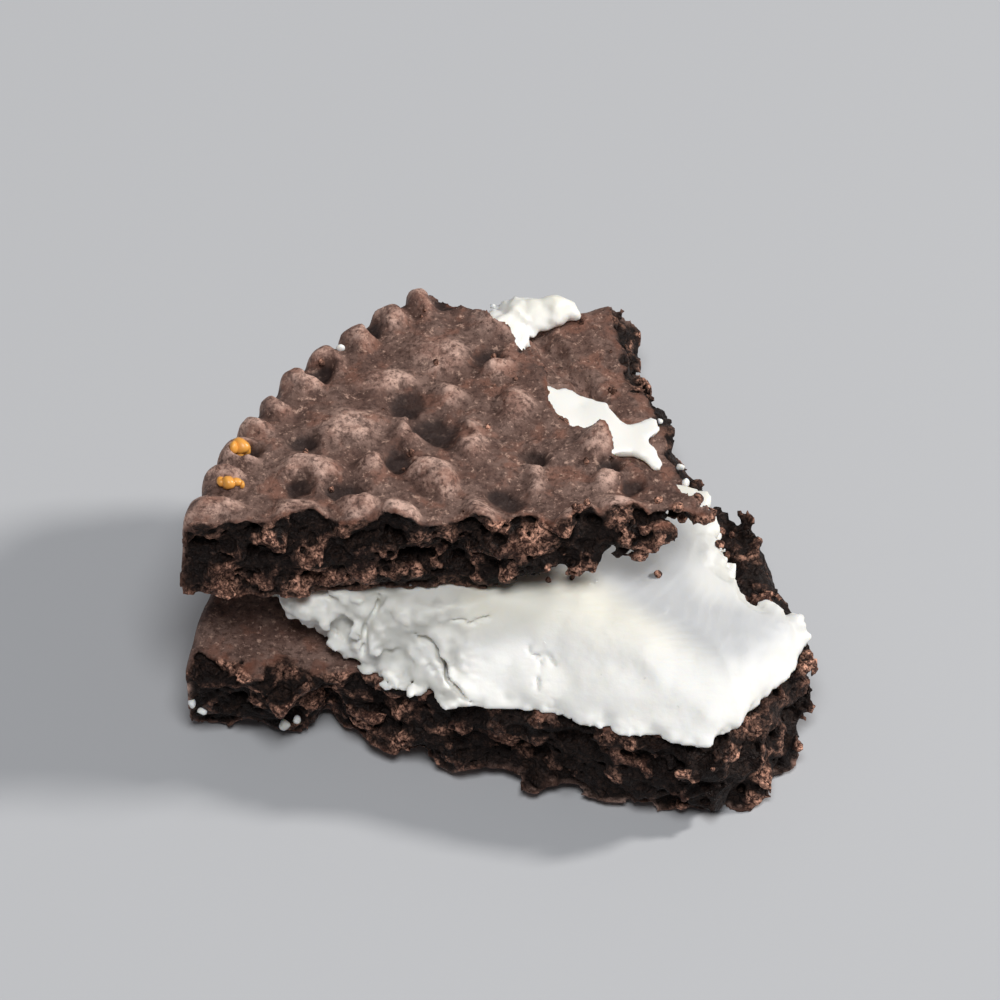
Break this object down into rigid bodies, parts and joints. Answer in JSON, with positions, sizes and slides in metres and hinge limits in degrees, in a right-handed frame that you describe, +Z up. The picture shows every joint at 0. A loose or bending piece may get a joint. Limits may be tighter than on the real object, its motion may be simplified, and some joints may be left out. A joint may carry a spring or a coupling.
{
  "type": "chocolate sandwich cookie",
  "caption": "Broken rim piece of a round chocolate sandwich cookie: two embossed cocoa wafers, the top one tilted and shorter, with a layer of vanilla creme showing between them.",
  "frame": {"origin": "middle of the piece's bounding box, on the surface that it rests on", "axes": "+Z up through both wafers, +Y from the front break towards the cookie's rim, +X along the front break towards the tip that lay near the cookie's centre"},
  "size_m": [0.0234, 0.0238, 0.0116],
  "materials": {
    "cocoa_wafer": "matte",
    "vanilla_creme": "satin"
  },
  "bodies": {
    "root": {"wafer_top": "cocoa_wafer", "creme": "vanilla_creme", "wafer_bottom": "cocoa_wafer"}
  },
  "joints": []
}
